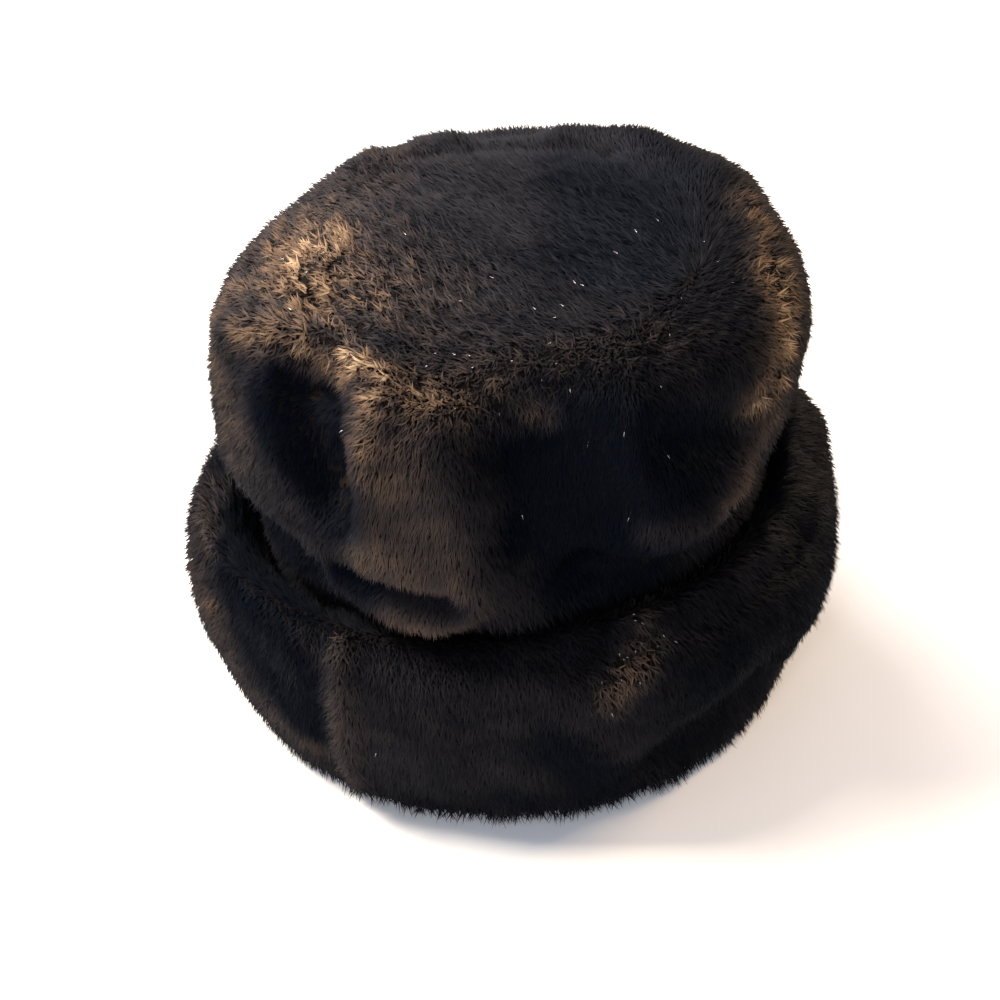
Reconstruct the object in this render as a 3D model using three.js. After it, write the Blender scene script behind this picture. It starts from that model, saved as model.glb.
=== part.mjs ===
// A soft fur cossack hat: a puffed crown that bulges over a thick turned-up cuff.
// Millimetres, +Z up, front towards -Y. The cuff's rim lies on z = 0 and the head hollow opens downwards.
import * as THREE from "three";

// Sizes that drive both pieces
const ringSides = 80;
const crownRings = 28;
const innerRingStep = 2; // the crown's inside has every second ring
const cuffRings = 24;
const pieceGap = 0.3;
const crownWall = 10; // hide with its pressed pile
const headHalfWidth = 94; // inside the band, at the rim
const headHalfDepth = 92;
const rimThickness = 4; // fur folded under the band
const degree = Math.PI / 180;

// Locks of the pile, fused to the hide
const lockRings = 3; // rings that one lock's length takes
const lockRelief = 2.4;
const lockSeed = { crown: 0, cuff: 50, fringe: 3 };
// Locks of the lower edge, which splay out over what the hat rests on
const fringe = { reach: 5, height: 7, startsOut: 28 };

// Where folds and locks fade in, from none to their full height
const crownFade = { height: [84, 98], offMiddle: [30, 110] }; // above the cuff, away from the top's middle
const cuffFade = { height: [1, 8], out: [14, 26] }; // above the flat rim, and outside the seat of the crown

// Crown, outside, from the hidden band up over the bulge and shoulder to the middle of the top.
// rearRise lifts a section's back and lowers its front by this much.
const crownSections = [
  { height: rimThickness + pieceGap, halfWidth: 104, halfDepth: 102, right: 0, back: 0, rearRise: 0 },
  { height: 30, halfWidth: 104, halfDepth: 102, right: 0, back: 0, rearRise: 0 },
  { height: 55, halfWidth: 104.5, halfDepth: 102.5, right: 0, back: 0, rearRise: 0 },
  { height: 76, halfWidth: 106, halfDepth: 104, right: 0, back: 0, rearRise: 0 },
  { height: 90, halfWidth: 108, halfDepth: 107, right: -1, back: -1, rearRise: 1 },
  { height: 100, halfWidth: 115, halfDepth: 115, right: -2, back: -2, rearRise: 2 },
  { height: 112, halfWidth: 121, halfDepth: 121, right: -3, back: -2, rearRise: 3 },
  { height: 128, halfWidth: 123.5, halfDepth: 124, right: -2.5, back: -1, rearRise: 4 },
  { height: 147, halfWidth: 124, halfDepth: 124, right: -1, back: 1, rearRise: 5 },
  { height: 165, halfWidth: 123, halfDepth: 122, right: 1, back: 2, rearRise: 6 },
  { height: 182, halfWidth: 119, halfDepth: 117, right: 3, back: 3, rearRise: 7 },
  { height: 195, halfWidth: 108.5, halfDepth: 107, right: 6, back: 3, rearRise: 8 },
  { height: 203, halfWidth: 91, halfDepth: 89, right: 8, back: 3, rearRise: 8 },
  { height: 206, halfWidth: 62, halfDepth: 62, right: 8, back: 2, rearRise: 6 },
  { height: 207, halfWidth: 32, halfDepth: 32, right: 8, back: 1, rearRise: 3 },
  { height: 207.5, halfWidth: 0, halfDepth: 0, right: 8, back: 0, rearRise: 0 },
];

// Folds and dents of the crown. Azimuth is in degrees from +X towards +Y, so -90 is the front.
// up is the share of the way from the band's lower edge to the middle of the top. A fold runs from one
// point to the other, push is how far it stands out (or sinks in, below 0), spread its half width, and firm
// how steep its sides are, 2 where a row doesn't say.
const crownFolds = [
  { name: "left front dent", from: [-136, 0.63], to: [-126, 0.52], push: -18, spread: 17, firm: 4 },
  { name: "edge beside the dent", from: [-117.5, 0.63], to: [-115, 0.49], push: 6, spread: 9 },
  { name: "arch over the dent", from: [-163, 0.6], to: [-152, 0.655], push: 5, spread: 9 },
  { name: "arch down to the edge", from: [-143, 0.677], to: [-122, 0.67], push: 6, spread: 9 },
  { name: "hump beside the arch", from: [-114, 0.635], to: [-106, 0.635], push: 3, spread: 9 },
  { name: "front left bulge", from: [-108, 0.54], to: [-106, 0.41], push: 8, spread: 25, firm: 3 },
  { name: "crease over the lip", from: [-124, 0.38], to: [-102, 0.39], push: -11, spread: 6.5 },
  { name: "hanging lip", from: [-118, 0.345], to: [-105, 0.35], push: 3, spread: 9 },
  { name: "right end of the lip", from: [-100, 0.375], to: [-93, 0.435], push: 4, spread: 10 },
  { name: "left lower tuck", from: [-174, 0.34], to: [-138, 0.35], push: -12, spread: 18, firm: 4 },
  { name: "front hollow", from: [-84, 0.585], to: [-77, 0.43], push: -18, spread: 29, firm: 4 },
  { name: "faint ridge in the hollow", from: [-67, 0.62], to: [-66, 0.52], push: 3, spread: 8 },
  { name: "right front hollow", from: [-62, 0.575], to: [-44, 0.53], push: -9, spread: 15 },
  { name: "right lower roll", from: [-66, 0.42], to: [-44, 0.445], push: 6, spread: 11 },
  { name: "right lower tuck", from: [-72, 0.335], to: [24, 0.365], push: -11, spread: 17, firm: 3 },
  { name: "right side, low", from: [-46, 0.43], to: [-22, 0.445], push: -3, spread: 13 },
  { name: "left shoulder slope", from: [174, 0.66], to: [152, 0.67], push: -7, spread: 20 },
  { name: "left shoulder groove", from: [-159, 0.71], to: [-136, 0.71], push: -5, spread: 6 },
  { name: "left rear shoulder", from: [148, 0.69], to: [132, 0.7], push: 5.5, spread: 13 },
  { name: "right rear shoulder", from: [26, 0.69], to: [50, 0.69], push: 6, spread: 20 },
  { name: "right shoulder", from: [-12, 0.65], to: [24, 0.67], push: 4, spread: 22 },
  { name: "rear lower hang", from: [50, 0.35], to: [140, 0.35], push: 5, spread: 14 },
  { name: "rear lip, left", from: [115, 0.69], to: [107, 0.7], push: 3, spread: 8 },
  { name: "rear lip, right", from: [76, 0.7], to: [58, 0.69], push: 2, spread: 10 },
  { name: "dip in the rear lip", from: [97, 0.69], to: [85, 0.69], push: -4, spread: 11 },
  { name: "crease before the lip, left", from: [118, 0.745], to: [97, 0.766], push: -5, spread: 7 },
  { name: "crease before the lip, right", from: [87, 0.77], to: [56, 0.765], push: -5, spread: 7 },
  { name: "sag in the top", from: [-110, 0.9], to: [-50, 0.88], push: -3, spread: 22 },
  { name: "rear dent", from: [112, 0.55], to: [100, 0.44], push: -7, spread: 19 },
  { name: "right side dent", from: [12, 0.55], to: [22, 0.45], push: -3, spread: 20 },
  { name: "left side swell", from: [-176, 0.6], to: [174, 0.54], push: 2.5, spread: 22 },
];

// Cuff, one section from the inner edge of the rim round under, up the outside, over the top and down
// the inside. out is measured outwards from the head hollow's wall.
const cuffSection = [
  { out: 1, height: 2, right: 0, back: 0 },
  { out: 4, height: 0, right: 0, back: 0 },
  { out: 27, height: 0, right: -3, back: 0 },
  { out: 34, height: 7, right: -4, back: 0 },
  { out: 40, height: 20, right: -4.5, back: 0 },
  { out: 45, height: 37, right: -4, back: 0 },
  { out: 47, height: 55, right: -3.5, back: 0 },
  { out: 47, height: 71, right: -3, back: 1 },
  { out: 44, height: 84, right: -4, back: 3 },
  { out: 37, height: 91, right: -7, back: 7 },
  { out: 29, height: 91, right: -9, back: 8 },
  { out: 22, height: 84, right: -5, back: 4 },
  { out: 17, height: 70, right: -2, back: 2 },
  { out: 13.5, height: 53, right: 0, back: 0 },
  { out: 11, height: 30, right: 0, back: 0 },
];

// Folds of the cuff, as the crown's. up is the share of the way round its section, from the rim's inside.
const cuffFolds = [
  { name: "low side of the seam", from: [-127, 0.24], to: [-125, 0.6], push: -4, spread: 8 },
  { name: "edge at the seam", from: [-120, 0.2], to: [-118.5, 0.62], push: 4, spread: 5.5 },
  { name: "hollow left of the seam", from: [-152, 0.56], to: [-134, 0.45], push: -4, spread: 16 },
  { name: "left side swell", from: [-180, 0.5], to: [-162, 0.46], push: 3, spread: 24 },
  { name: "glossy swell", from: [-77, 0.55], to: [-64, 0.6], push: 4, spread: 16 },
  { name: "hollow past the swell", from: [-96, 0.4], to: [-90, 0.52], push: -3, spread: 15 },
  { name: "right front, low", from: [-60, 0.28], to: [-40, 0.31], push: -9, spread: 18 },
  { name: "right front, high", from: [-72, 0.6], to: [-24, 0.6], push: -4, spread: 12 },
  { name: "rolled in, right", from: [-76, 0.668], to: [14, 0.68], push: 7, spread: 10 },
  { name: "right side swell", from: [-26, 0.44], to: [16, 0.55], push: 6, spread: 23 },
  { name: "right rear rise", from: [10, 0.61], to: [42, 0.62], push: 9, spread: 20 },
  { name: "pressed under the lip", from: [-118, 0.665], to: [-96, 0.665], push: -2, spread: 12 },
  { name: "rear sag", from: [84, 0.62], to: [106, 0.62], push: -4, spread: 17 },
];

// A fixed number from 0 to 1 for each pair of numbers
const scatter = (a, b) => {
  const s = Math.sin(a * 127.1 + b * 311.7 + 74.7) * 43758.5453;
  return s - Math.floor(s);
};

// A smooth curve through the rows of a table: share 0 is the first row, 1 the last. Rows are as far apart
// as the section's line between them is long, by its height and by the column that across names.
function curveThrough(rows, across) {
  const stations = [0];
  rows.slice(1).forEach((row, i) => {
    const length = Math.hypot(row[across] - rows[i][across], row.height - rows[i].height);
    stations.push(stations[i] + length);
  });
  const last = rows.length - 1;
  const slope = (key, i) => {
    const a = Math.max(i - 1, 0);
    const b = Math.min(i + 1, last);
    return (rows[b][key] - rows[a][key]) / (stations[b] - stations[a]);
  };
  return (share) => {
    const s = share * stations[last];
    let i = 0;
    while (i < last - 1 && stations[i + 1] < s) i += 1;
    const length = stations[i + 1] - stations[i];
    const t = (s - stations[i]) / length;
    const result = {};
    for (const key of Object.keys(rows[0])) {
      const start = rows[i][key];
      const end = rows[i + 1][key];
      const leave = slope(key, i) * length;
      const arrive = slope(key, i + 1) * length;
      const square = 3 * (end - start) - 2 * leave - arrive;
      const cube = 2 * (start - end) + leave + arrive;
      result[key] = start + t * (leave + t * (square + t * cube));
    }
    return result;
  };
}

const crownCurve = curveThrough(crownSections, "halfWidth");

// A point of the crown's smooth outside, before its folds
function crownBase(azimuth, up) {
  const row = crownCurve(up);
  const c = Math.cos(azimuth);
  const s = Math.sin(azimuth);
  return new THREE.Vector3(
    row.right + row.halfWidth * c,
    row.back + row.halfDepth * s,
    row.height + row.rearRise * s,
  );
}

const cuffCurve = curveThrough(cuffSection, "out");

function cuffBase(azimuth, up) {
  const row = cuffCurve(up);
  return new THREE.Vector3(
    row.right + (headHalfWidth + row.out) * Math.cos(azimuth),
    row.back + (headHalfDepth + row.out) * Math.sin(azimuth),
    row.height,
  );
}

// The way a surface faces at a point
function outwards(surface, azimuth, up) {
  const step = 0.004;
  const round = surface(azimuth + step, up).sub(surface(azimuth - step, up));
  const rise = surface(azimuth, Math.min(up + step, 1)).sub(surface(azimuth, Math.max(up - step, 0)));
  return round.cross(rise).normalize();
}

// The folds of a table, each as short straight lines that follow a smooth surface
function foldLines(folds, surface) {
  const steps = 6;
  return folds.map(({ from, to, push, spread, firm = 2 }) => {
    const points = Array.from({ length: steps + 1 }, (_, i) => {
      const [azimuth, up] = from.map((start, k) => start + ((to[k] - start) * i) / steps);
      return surface(azimuth * degree, up);
    });
    const lines = points.slice(1).map((point, i) => new THREE.Line3(points[i], point));
    return { push, spread, firm, lines };
  });
}

// How far the folds push a point of the surface outwards
function foldPush(folds, point) {
  const nearest = new THREE.Vector3();
  const distanceTo = (line) => line.closestPointToPoint(point, true, nearest).distanceTo(point);
  return folds.reduce((sum, { lines, push, spread, firm }) => {
    const distance = Math.min(...lines.map(distanceTo));
    return sum + push * Math.exp(-((distance / spread) ** firm));
  }, 0);
}

// Relief of the locks: strips one side wide that start at staggered rings and stand out most low down
function lockHeight(side, ring, seed) {
  const stagger = Math.floor(lockRings * scatter(side, seed - 1));
  const lock = Math.floor((ring + stagger) / lockRings);
  const along = ((ring + stagger) % lockRings) / lockRings;
  const lowerEnd = 1.3;
  const mean = 0.4;
  return lockRelief * (scatter(side, lock + seed) * (lowerEnd - along) - mean);
}

// Collects rings of points and joins them with faces that look outwards
class Skin {
  constructor() {
    this.points = [];
    this.faces = [];
  }
  ring(points) {
    const first = this.points.length;
    this.points.push(...points);
    return points.map((_, i) => first + i);
  }
  join(lower, upper) {
    const count = Math.max(lower.length, upper.length);
    for (let i = 0; i < count; i += 1) {
      const next = (i + 1) % count;
      if (lower.length === 1) this.faces.push(lower[0], upper[next], upper[i]);
      else if (upper.length === 1) this.faces.push(lower[i], lower[next], upper[0]);
      else {
        this.faces.push(lower[i], lower[next], upper[next]);
        this.faces.push(lower[i], upper[next], upper[i]);
      }
    }
  }
  geometry() {
    const geometry = new THREE.BufferGeometry().setFromPoints(this.points);
    geometry.setIndex(this.faces);
    geometry.computeVertexNormals();
    return geometry;
  }
}

const azimuths = Array.from({ length: ringSides }, (_, i) => (i / ringSides) * 2 * Math.PI);
const fade = (value, [none, full]) => THREE.MathUtils.smoothstep(value, none, full);

function crownGeometry() {
  const folds = foldLines(crownFolds, crownBase);
  const skin = new Skin();
  const point = (side, ring, sunk) => {
    const azimuth = azimuths[side];
    const up = ring / crownRings;
    const base = crownBase(azimuth, up);
    const offMiddle = fade(Math.hypot(base.x, base.y), crownFade.offMiddle);
    const locks = sunk ? 0 : offMiddle * lockHeight(side, ring, lockSeed.crown);
    const push = fade(base.z, crownFade.height) * (foldPush(folds, base) + locks);
    const facing = ring === crownRings ? new THREE.Vector3(0, 0, 1) : outwards(crownBase, azimuth, up);
    return base.addScaledVector(facing, push - sunk);
  };
  const ringAt = (ring, sunk) => {
    const sides = ring === crownRings ? [0] : azimuths.keys();
    return skin.ring(Array.from(sides, (side) => point(side, ring, sunk)));
  };
  const outer = [];
  for (let ring = 0; ring <= crownRings; ring += 1) outer.push(ringAt(ring, 0));
  const inner = [];
  for (let ring = 0; ring <= crownRings; ring += innerRingStep) inner.push(ringAt(ring, crownWall));
  outer.slice(1).forEach((ring, i) => skin.join(outer[i], ring));
  inner.slice(1).forEach((ring, i) => skin.join(ring, inner[i]));
  skin.join(inner[0], outer[0]);
  return skin.geometry();
}

function cuffGeometry() {
  const folds = foldLines(cuffFolds, cuffBase);
  const skin = new Skin();
  const furPoint = (azimuth, side, ring) => {
    const up = ring / cuffRings;
    const base = cuffBase(azimuth, up);
    const out = Math.hypot(base.x, base.y) - headHalfWidth;
    const offRim = fade(base.z, cuffFade.height) * fade(out, cuffFade.out);
    const locks = lockHeight(side, cuffRings - ring, lockSeed.cuff);
    const low = out > fringe.startsOut ? Math.exp(-((base.z / fringe.height) ** 2)) : 0;
    const splay = fringe.reach * low * scatter(side, lockSeed.fringe);
    base.addScaledVector(outwards(cuffBase, azimuth, up), offRim * (foldPush(folds, base) + locks) + splay);
    return base.setZ(Math.max(base.z, 0));
  };
  const seatPoint = (azimuth, out) =>
    new THREE.Vector3(
      (headHalfWidth + out) * Math.cos(azimuth),
      (headHalfDepth + out) * Math.sin(azimuth),
      rimThickness,
    );
  const loop = [];
  for (let ring = 0; ring <= cuffRings; ring += 1) {
    loop.push(skin.ring(azimuths.map((azimuth, side) => furPoint(azimuth, side, ring))));
  }
  const bandOut = crownSections[0].halfWidth - headHalfWidth;
  for (const out of [bandOut + pieceGap, cuffSection[0].out]) {
    loop.push(skin.ring(azimuths.map((azimuth) => seatPoint(azimuth, out))));
  }
  loop.forEach((ring, i) => skin.join(ring, loop[(i + 1) % loop.length]));
  return skin.geometry();
}

const furMaterial = (name, colour) =>
  new THREE.MeshStandardMaterial({ name, color: colour, roughness: 0.85, metalness: 0 });

const crown = new THREE.Mesh(crownGeometry(), furMaterial("crown_fur", 0x1d120d));
crown.name = "crown";
const cuff = new THREE.Mesh(cuffGeometry(), furMaterial("cuff_fur", 0x1a100b));
cuff.name = "cuff";

const group = new THREE.Group();
group.add(crown, cuff);
export default group;
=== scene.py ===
# Cossack hat of dark brown plush fur: a puffed, dented crown over a thick turned-up cuff
import math

import bpy
import numpy as np
from mathutils import Matrix, Vector


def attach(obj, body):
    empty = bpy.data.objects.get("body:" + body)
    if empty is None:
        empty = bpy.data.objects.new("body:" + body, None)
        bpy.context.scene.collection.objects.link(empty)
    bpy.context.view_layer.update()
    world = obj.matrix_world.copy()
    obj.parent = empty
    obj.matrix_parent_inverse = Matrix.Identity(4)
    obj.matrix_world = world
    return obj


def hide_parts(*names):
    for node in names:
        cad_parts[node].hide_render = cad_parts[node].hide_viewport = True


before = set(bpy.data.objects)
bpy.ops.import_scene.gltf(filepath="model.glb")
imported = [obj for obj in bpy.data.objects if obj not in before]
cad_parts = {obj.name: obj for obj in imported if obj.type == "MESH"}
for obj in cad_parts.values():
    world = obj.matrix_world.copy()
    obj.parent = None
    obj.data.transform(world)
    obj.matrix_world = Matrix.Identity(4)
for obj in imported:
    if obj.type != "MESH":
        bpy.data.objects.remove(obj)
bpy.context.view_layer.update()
print("frame loaded:", ", ".join(sorted(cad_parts)))

mm = 0.001
frameSide = 1000  # pixels of the picture, each way


# Camera: from in front and well above, a little rolled, as the picture was taken
cameraView = {
    "height": 35,  # degrees above the horizon
    "roll": 3,  # degrees
    "distance": 750 * mm,
    "target": (0, 0, 90 * mm),
    "targetPixel": (512, 468),
    "focalPixels": 1716,
}


def makeCamera(view):
    tilt = math.radians(view["height"])
    roll = math.radians(view["roll"])
    ahead = Vector((0, math.cos(tilt), -math.sin(tilt)))
    level = Vector((1, 0, 0))
    upright = Vector((0, math.sin(tilt), math.cos(tilt)))
    right = level * math.cos(roll) - upright * math.sin(roll)
    up = upright * math.cos(roll) + level * math.sin(roll)
    offRight, offDown = ((frameSide / 2 - pixel) / view["focalPixels"] for pixel in view["targetPixel"])
    aim = (ahead + right * offRight - up * offDown).normalized()
    side = aim.cross(up).normalized()
    camera = bpy.data.objects.new("camera", bpy.data.cameras.new("camera"))
    camera.data.lens = view["focalPixels"] * camera.data.sensor_width / frameSide
    turn = Matrix((side, side.cross(aim), -aim)).transposed().to_4x4()
    camera.matrix_world = Matrix.Translation(Vector(view["target"]) - ahead * view["distance"]) @ turn
    bpy.context.scene.collection.objects.link(camera)
    bpy.context.scene.camera = camera


makeCamera(cameraView)
print("camera set")


# Shapes. Tables are in millimetres. Azimuth is in degrees from +X towards +Y, so -90 is the front.
headHalfWidth = 94
headHalfDepth = 92

# Crown, outside, from the hidden band up over the bulge and shoulder to the middle of the top.
# rearRise lifts a section's back and lowers its front.
crownShape = {
    "columns": ("height", "halfWidth", "halfDepth", "right", "back", "rearRise"),
    "across": "halfWidth",
    "rows": [
        (4.3, 104, 102, 0, 0, 0),
        (30, 104, 102, 0, 0, 0),
        (55, 104.5, 102.5, 0, 0, 0),
        (76, 106, 104, 0, 0, 0),
        (90, 108, 107, -1, -1, 1),
        (100, 115, 115, -2, -2, 2),
        (112, 121, 121, -3, -2, 3),
        (128, 123.5, 124, -2.5, -1, 4),
        (147, 124, 124, -1, 1, 5),
        (165, 123, 122, 1, 2, 6),
        (182, 119, 117, 3, 3, 7),
        (195, 108.5, 107, 6, 3, 8),
        (203, 91, 89, 8, 3, 8),
        (206, 62, 62, 8, 2, 6),
        (207, 32, 32, 8, 1, 3),
        (207.5, 0, 0, 8, 0, 0),
    ],
}

# Cuff, from the inner edge of the rim round under, up the outside, over the top and down the inside.
# out is measured outwards from the head hollow's wall.
cuffShape = {
    "columns": ("out", "height", "right", "back"),
    "across": "out",
    "rows": [
        (1, 2, 0, 0),
        (4, 0, 0, 0),
        (27, 0, -3, 0),
        (34, 7, -4, 0),
        (40, 20, -4.5, 0),
        (45, 37, -4, 0),
        (47, 55, -3.5, 0),
        (47, 71, -3, 1),
        (44, 84, -4, 3),
        (37, 91, -7, 7),
        (29, 91, -9, 8),
        (22, 84, -5, 4),
        (17, 70, -2, 2),
        (13.5, 53, 0, 0),
        (11, 30, 0, 0),
    ],
}

# Folds and dents. A fold runs from one place to another, given by azimuth and share of the way along the
# table above. push is how far it stands out, or sinks in below 0, spread its half width, and firm how
# steep its sides are, 2 for soft ones.
crownFolds = [
    ("left front dent", (-136, 0.63), (-126, 0.52), -18, 17, 4),
    ("edge beside the dent", (-117.5, 0.63), (-115, 0.49), 6, 9, 2),
    ("arch over the dent", (-163, 0.6), (-152, 0.655), 5, 9, 2),
    ("arch down to the edge", (-143, 0.677), (-122, 0.67), 6, 9, 2),
    ("hump beside the arch", (-114, 0.635), (-106, 0.635), 3, 9, 2),
    ("front left bulge", (-108, 0.54), (-106, 0.41), 8, 25, 3),
    ("crease over the lip", (-124, 0.38), (-102, 0.39), -11, 6.5, 2),
    ("hanging lip", (-118, 0.345), (-105, 0.35), 3, 9, 2),
    ("right end of the lip", (-100, 0.375), (-93, 0.435), 4, 10, 2),
    ("left lower tuck", (-174, 0.34), (-138, 0.35), -12, 18, 4),
    ("front hollow", (-84, 0.585), (-77, 0.43), -18, 29, 4),
    ("faint ridge in the hollow", (-67, 0.62), (-66, 0.52), 3, 8, 2),
    ("right front hollow", (-62, 0.575), (-44, 0.53), -9, 15, 2),
    ("right lower roll", (-66, 0.42), (-44, 0.445), 6, 11, 2),
    ("right lower tuck", (-72, 0.335), (24, 0.365), -11, 17, 3),
    ("right side, low", (-46, 0.43), (-22, 0.445), -3, 13, 2),
    ("left shoulder slope", (174, 0.66), (152, 0.67), -7, 20, 2),
    ("left shoulder groove", (-159, 0.71), (-136, 0.71), -5, 6, 2),
    ("left rear shoulder", (148, 0.69), (132, 0.7), 5.5, 13, 2),
    ("right rear shoulder", (26, 0.69), (50, 0.69), 5, 20, 2),
    ("right shoulder", (-12, 0.65), (24, 0.67), 2, 22, 2),
    ("rear lower hang", (50, 0.35), (140, 0.35), 5, 14, 2),
    ("rear lip, left", (115, 0.69), (107, 0.7), 3, 8, 2),
    ("rear lip, right", (76, 0.7), (58, 0.69), 2, 10, 2),
    ("dip in the rear lip", (97, 0.69), (85, 0.69), -4, 11, 2),
    ("crease before the lip, left", (118, 0.745), (97, 0.766), -3.5, 7, 2),
    ("crease before the lip, right", (87, 0.77), (56, 0.765), -3, 7, 2),
    ("sag in the top", (-110, 0.9), (-50, 0.88), -3, 22, 2),
    ("rear dent", (112, 0.55), (100, 0.44), -7, 19, 2),
    ("right side dent", (12, 0.55), (22, 0.45), -3, 20, 2),
    ("left side swell", (-176, 0.6), (174, 0.54), 2.5, 22, 2),
]
cuffFolds = [
    ("low side of the seam", (-127, 0.24), (-125, 0.6), -4, 8, 2),
    ("edge at the seam", (-120, 0.2), (-118.5, 0.62), 4, 5.5, 2),
    ("hollow left of the seam", (-152, 0.56), (-134, 0.45), -4, 16, 2),
    ("left side swell", (-180, 0.5), (-162, 0.46), 3, 24, 2),
    ("glossy swell", (-77, 0.55), (-64, 0.6), 4, 16, 2),
    ("hollow past the swell", (-96, 0.4), (-90, 0.52), -3, 15, 2),
    ("right front, low", (-60, 0.28), (-40, 0.31), -9, 18, 2),
    ("right front, high", (-72, 0.6), (-24, 0.6), -4, 12, 2),
    ("rolled in, right", (-76, 0.668), (14, 0.68), 7, 10, 2),
    ("right side swell", (-26, 0.44), (16, 0.55), 6, 23, 2),
    ("right rear rise", (10, 0.61), (42, 0.62), 9, 20, 2),
    ("pressed under the lip", (-118, 0.665), (-96, 0.665), -2, 12, 2),
    ("rear sag", (84, 0.62), (106, 0.62), -4, 17, 2),
]


# A smooth curve through a table's rows: share 0 is the first row, 1 the last
def curveThrough(shape):
    columns = shape["columns"]
    rows = np.array(shape["rows"], float)
    steps = [np.diff(rows[:, columns.index(name)]) for name in (shape["across"], "height")]
    stations = np.concatenate([[0], np.cumsum(np.hypot(*steps))])
    last = len(stations) - 1

    def slope(i):
        low = np.maximum(i - 1, 0)
        high = np.minimum(i + 1, last)
        return (rows[high] - rows[low]) / (stations[high] - stations[low])[..., None]

    def at(share):
        place = np.asarray(share, float) * stations[-1]
        i = np.clip(np.searchsorted(stations, place, side="right") - 1, 0, last - 1)
        length = (stations[i + 1] - stations[i])[..., None]
        t = (place - stations[i])[..., None] / length
        leave = slope(i) * length
        arrive = slope(i + 1) * length
        change = rows[i + 1] - rows[i]
        bend = 3 * change - 2 * leave - arrive
        twist = leave + arrive - 2 * change
        value = rows[i] + t * (leave + t * (bend + t * twist))
        return {name: value[..., k] for k, name in enumerate(columns)}

    return at, stations[-1]


crownCurve, crownLength = curveThrough(crownShape)
cuffCurve, cuffLength = curveThrough(cuffShape)


def crownAt(azimuth, up):
    row = crownCurve(up)
    x = row["right"] + row["halfWidth"] * np.cos(azimuth)
    y = row["back"] + row["halfDepth"] * np.sin(azimuth)
    return np.stack([x, y, row["height"] + row["rearRise"] * np.sin(azimuth)], -1)


def cuffAt(azimuth, up):
    row = cuffCurve(up)
    x = row["right"] + (headHalfWidth + row["out"]) * np.cos(azimuth)
    return np.stack([x, row["back"] + (headHalfDepth + row["out"]) * np.sin(azimuth), row["height"]], -1)


def unit(vectors):
    tiny = 1e-9
    return vectors / np.maximum(np.linalg.norm(vectors, axis=-1, keepdims=True), tiny)


# Which way a surface faces, and which way is up along its section
def facing(surface, azimuth, up):
    step = 0.006
    around = surface(azimuth + step, up) - surface(azimuth - step, up)
    rise = surface(azimuth, np.minimum(up + step, 1)) - surface(azimuth, np.maximum(up - step, 0))
    return unit(np.cross(around, rise)), unit(rise)


def fade(value, none, full):
    t = np.clip((value - none) / (full - none), 0, 1)
    return t * t * (3 - 2 * t)


# How near points are to a line on the surface: 1 on it, falling away over spread. The line is made of
# straight legs.
leastLegs = 6
legDegrees = 12


def nearness(surface, points, start, end, spread, firm):
    legs = max(leastLegs, round(abs(end[0] - start[0]) / legDegrees))
    shares = np.linspace(0, 1, legs + 1)[:, None]
    stops = np.array(start) * (1 - shares) + np.array(end) * shares
    knots = surface(np.radians(stops[:, 0]), stops[:, 1])
    least = np.full(points.shape[:-1], np.inf)
    for a, b in zip(knots[:-1], knots[1:]):
        leg = b - a
        t = np.clip((points - a) @ leg / (leg @ leg), 0, 1)
        least = np.minimum(least, np.linalg.norm(points - a - t[..., None] * leg, axis=-1))
    return np.exp(-((least / spread) ** firm))


def foldPush(surface, folds, points):
    total = np.zeros(points.shape[:-1])
    for _, start, end, push, spread, firm in folds:
        total += push * nearness(surface, points, start, end, spread, firm)
    return total


# The crown's and the cuff's outside, sunk below their outline by so many millimetres. The folds fade out
# down the crown's hidden band, under the rim and on the cuff's inside.
foldFades = {"crownHeight": (84, 98), "cuffHeight": (1, 8), "cuffOut": (14, 26)}


def crownSkin(azimuth, up, sunk):
    base = crownAt(azimuth, up)
    away, _ = facing(crownAt, azimuth, up)
    away[up >= 1] = (0, 0, 1)
    push = fade(base[..., 2], *foldFades["crownHeight"]) * foldPush(crownAt, crownFolds, base)
    return base + away * (push - sunk)[..., None]


def cuffSkin(azimuth, up, sunk):
    base = cuffAt(azimuth, up)
    away, _ = facing(cuffAt, azimuth, up)
    out = np.hypot(base[..., 0], base[..., 1]) - headHalfWidth
    shown = fade(base[..., 2], *foldFades["cuffHeight"]) * fade(out, *foldFades["cuffOut"])
    push = shown * foldPush(cuffAt, cuffFolds, base)
    return base + away * (push - sunk)[..., None]


def gridOf(sides, shares):
    azimuths = np.arange(sides) / sides * 2 * math.pi + math.pi / 2  # starts at the back
    return np.meshgrid(azimuths, shares)


# Faces between rings of points, outwards on rings that go up the outside
def ringFaces(sides, first, second):
    i = np.arange(sides)
    j = (i + 1) % sides
    return np.stack([first + i, first + j, second + j, second + i], 1)


def meshObject(name, points, faces):
    mesh = bpy.data.meshes.new(name)
    mesh.from_pydata(points.tolist(), [], [list(map(int, face)) for face in faces])
    mesh.update()
    piece = bpy.data.objects.new(name, mesh)
    bpy.context.scene.collection.objects.link(piece)
    return piece


# One function adds a node. Inputs are values, sockets, or nodes, which give their first output in use.
def addNode(tree, kind, inputs=(), **settings):
    node = tree.nodes.new(kind)
    for key, value in settings.items():
        setattr(node, key, value)
    for key, value in inputs.items() if isinstance(inputs, dict) else enumerate(inputs):
        if isinstance(value, bpy.types.Node):
            value = next(socket for socket in value.outputs if socket.enabled)
        if isinstance(value, bpy.types.NodeSocket):
            tree.links.new(value, node.inputs[key])
        else:
            node.inputs[key].default_value = value
    return node


# sRGB hex to linear light
def linearColour(hexColour):
    shares = [int(hexColour[i : i + 2], 16) / 255 for i in (1, 3, 5)]
    return [c / 12.92 if c <= 0.04045 else ((c + 0.055) / 1.055) ** 2.4 for c in shares] + [1]


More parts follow.
